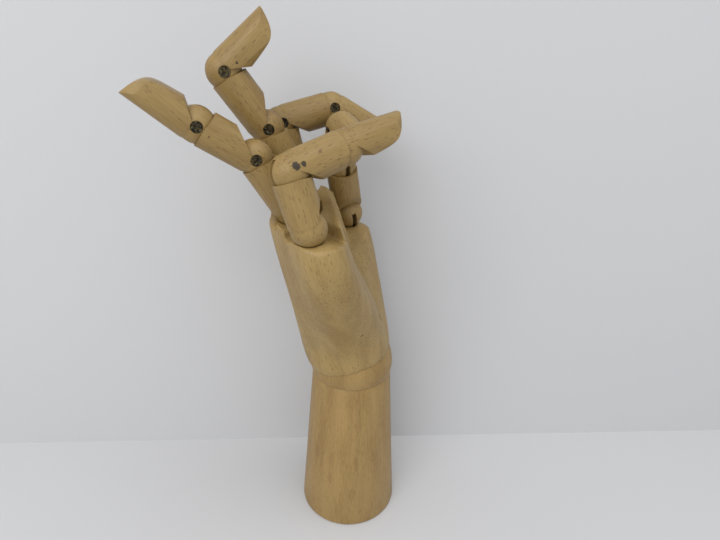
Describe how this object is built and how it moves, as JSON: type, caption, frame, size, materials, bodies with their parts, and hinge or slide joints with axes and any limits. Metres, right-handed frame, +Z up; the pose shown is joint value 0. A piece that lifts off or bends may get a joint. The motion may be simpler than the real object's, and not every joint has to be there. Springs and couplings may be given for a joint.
{
  "type": "wooden hand mannequin",
  "caption": "Jointed wooden artist's hand on a turned tapering stand, with ball-ended finger pegs screwed together and sprung roots and wrist, in a pinching pose.",
  "frame": {"origin": "centre of the stand's foot, on the table", "axes": "+Z up along the stand's axis, -Y towards the pictured side, +X to that side's right"},
  "size_m": [0.1277, 0.0984, 0.2944],
  "materials": {
    "stand_wood": "smooth, thinly sealed pale hardwood with fine flecks along the axis",
    "palm_wood": "smooth, thinly sealed pale hardwood, carved",
    "peg_wood": "smooth, thinly sealed pale hardwood with fine flecks along each peg",
    "screw_steel": "dark, slightly glossy",
    "pin_steel": "plain drawn wire",
    "spring_steel": "bright drawn wire"
  },
  "bodies": {
    "stand": {"stand": "stand_wood", "stand_anchor_pin": "pin_steel"},
    "wrist_ball": {"wrist_ball": "stand_wood"},
    "wrist_spring": {"wrist_spring": "spring_steel"},
    "palm": {"palm": "palm_wood", "palm_anchor_pin": "pin_steel"},
    "index_root_spring": {"index_root_spring": "spring_steel"},
    "index_proximal": {"index_proximal": "peg_wood", "index_root_pin": "pin_steel"},
    "index_middle": {"index_middle": "peg_wood", "index_middle_screw": "screw_steel"},
    "index_distal": {"index_distal": "peg_wood", "index_end_screw": "screw_steel"},
    "middle_root_spring": {"middle_root_spring": "spring_steel"},
    "middle_proximal": {"middle_proximal": "peg_wood", "middle_root_pin": "pin_steel"},
    "middle_middle": {"middle_middle": "peg_wood", "middle_middle_screw": "screw_steel"},
    "middle_distal": {"middle_distal": "peg_wood", "middle_end_screw": "screw_steel"},
    "ring_root_spring": {"ring_root_spring": "spring_steel"},
    "ring_proximal": {"ring_proximal": "peg_wood", "ring_root_pin": "pin_steel"},
    "ring_middle": {"ring_middle": "peg_wood", "ring_middle_screw": "screw_steel"},
    "ring_distal": {"ring_distal": "peg_wood", "ring_end_screw": "screw_steel"},
    "little_root_spring": {"little_root_spring": "spring_steel"},
    "little_proximal": {"little_proximal": "peg_wood", "little_root_pin": "pin_steel"},
    "little_middle": {"little_middle": "peg_wood", "little_middle_screw": "screw_steel"},
    "little_distal": {"little_distal": "peg_wood", "little_end_screw": "screw_steel"},
    "thumb_root_spring": {"thumb_root_spring": "spring_steel"},
    "thumb_proximal": {"thumb_proximal": "peg_wood", "thumb_root_pin": "pin_steel"},
    "thumb_middle": {"thumb_middle": "peg_wood", "thumb_middle_screw": "screw_steel"},
    "thumb_distal": {"thumb_distal": "peg_wood", "thumb_end_screw": "screw_steel"}
  },
  "joints": [
    {"name": "wrist_swivel", "type": "hinge", "parent": "stand", "child": "wrist_ball", "pos_m": [0, 0, 0.107], "axis": [0, 0, 1], "range_deg": [-90, 90]},
    {"name": "wrist_bend", "type": "hinge", "parent": "wrist_ball", "child": "wrist_spring", "pos_m": [0, 0, 0.107], "axis": [0.309, 0.9511, 0], "range_deg": [-4, 34]},
    {"name": "wrist_side", "type": "hinge", "parent": "wrist_spring", "child": "palm", "pos_m": [0, 0, 0.107], "axis": [-0.9187, 0.2985, -0.2588], "range_deg": [-10, 14]},
    {"name": "index_twist", "type": "hinge", "parent": "palm", "child": "index_root_spring", "pos_m": [-0.03059, -0.02016, 0.20672], "axis": [0.2868, 0.0532, -0.9565], "range_deg": [-26, 28]},
    {"name": "index_root", "type": "hinge", "parent": "index_root_spring", "child": "index_proximal", "pos_m": [-0.03059, -0.02016, 0.20672], "axis": [-0.2884, 0.9569, -0.0333], "range_deg": [-5, 51]},
    {"name": "index_middle", "type": "hinge", "parent": "index_proximal", "child": "index_middle", "pos_m": [-0.04625, -0.02398, 0.23262], "axis": [-0.2884, 0.9569, -0.0333], "range_deg": [0, 114]},
    {"name": "index_end", "type": "hinge", "parent": "index_middle", "child": "index_distal", "pos_m": [-0.06925, -0.03039, 0.24762], "axis": [0.2884, -0.9569, 0.0333], "range_deg": [-80, 18]},
    {"name": "middle_twist", "type": "hinge", "parent": "palm", "child": "middle_root_spring", "pos_m": [-0.02927, -0.00161, 0.21032], "axis": [-0.2839, -0.0432, 0.9579], "range_deg": [-64, 26]},
    {"name": "middle_root", "type": "hinge", "parent": "middle_root_spring", "child": "middle_proximal", "pos_m": [-0.02927, -0.00161, 0.21032], "axis": [0.2859, -0.9573, 0.0416], "range_deg": [-35, 12]},
    {"name": "middle_middle", "type": "hinge", "parent": "middle_proximal", "child": "middle_middle", "pos_m": [-0.04365, -0.00451, 0.24232], "axis": [-0.2859, 0.9573, -0.0416], "range_deg": [-15, 74]},
    {"name": "middle_end", "type": "hinge", "parent": "middle_middle", "child": "middle_distal", "pos_m": [-0.06121, -0.00866, 0.26753], "axis": [-0.2859, 0.9573, -0.0416], "range_deg": [-94, 5]},
    {"name": "ring_twist", "type": "hinge", "parent": "palm", "child": "ring_root_spring", "pos_m": [-0.03196, 0.01614, 0.20709], "axis": [-0.2542, 0.0551, 0.9656], "range_deg": [-2.5, 41]},
    {"name": "ring_root", "type": "hinge", "parent": "ring_root_spring", "child": "ring_proximal", "pos_m": [-0.03196, 0.01614, 0.20709], "axis": [-0.3431, 0.9283, -0.1432], "range_deg": [-20, 10]},
    {"name": "ring_middle", "type": "hinge", "parent": "ring_proximal", "child": "ring_middle", "pos_m": [-0.04073, 0.01803, 0.2404], "axis": [0.3431, -0.9283, 0.1432], "range_deg": [0, 99]},
    {"name": "ring_end", "type": "hinge", "parent": "ring_middle", "child": "ring_distal", "pos_m": [-0.01508, 0.02854, 0.24707], "axis": [0.3431, -0.9283, 0.1432], "range_deg": [-10, 54]},
    {"name": "little_twist", "type": "hinge", "parent": "palm", "child": "little_root_spring", "pos_m": [-0.00484, 0.02786, 0.18887], "axis": [0.2635, -0.0251, -0.9643], "range_deg": [-6, 32]},
    {"name": "little_root", "type": "hinge", "parent": "little_root_spring", "child": "little_proximal", "pos_m": [-0.00484, 0.02786, 0.18887], "axis": [-0.8499, -0.479, -0.2198], "range_deg": [-1.5, 1.5]},
    {"name": "little_middle", "type": "hinge", "parent": "little_proximal", "child": "little_middle", "pos_m": [-0.00907, 0.02157, 0.21893], "axis": [-0.8499, -0.479, -0.2198], "range_deg": [-70, 4]},
    {"name": "little_end", "type": "hinge", "parent": "little_middle", "child": "little_distal", "pos_m": [-0.00841, 0.0106, 0.24027], "axis": [-0.8499, -0.479, -0.2198], "range_deg": [0, 5]},
    {"name": "thumb_twist", "type": "hinge", "parent": "palm", "child": "thumb_root_spring", "pos_m": [-0.01987, -0.04558, 0.20697], "axis": [-0.2992, 0.0789, 0.9509], "range_deg": [-89, 0]},
    {"name": "thumb_root", "type": "hinge", "parent": "thumb_root_spring", "child": "thumb_proximal", "pos_m": [-0.01987, -0.04558, 0.20697], "axis": [0.5388, -0.8085, 0.2366], "range_deg": [-2, 19]},
    {"name": "thumb_middle", "type": "hinge", "parent": "thumb_proximal", "child": "thumb_middle", "pos_m": [-0.028, -0.04379, 0.2316], "axis": [0.5388, -0.8085, 0.2366], "range_deg": [-1, 98]},
    {"name": "thumb_end", "type": "hinge", "parent": "thumb_middle", "child": "thumb_distal", "pos_m": [-0.00542, -0.02661, 0.2389], "axis": [0.5388, -0.8085, 0.2366], "range_deg": [-83, 15]}
  ]
}
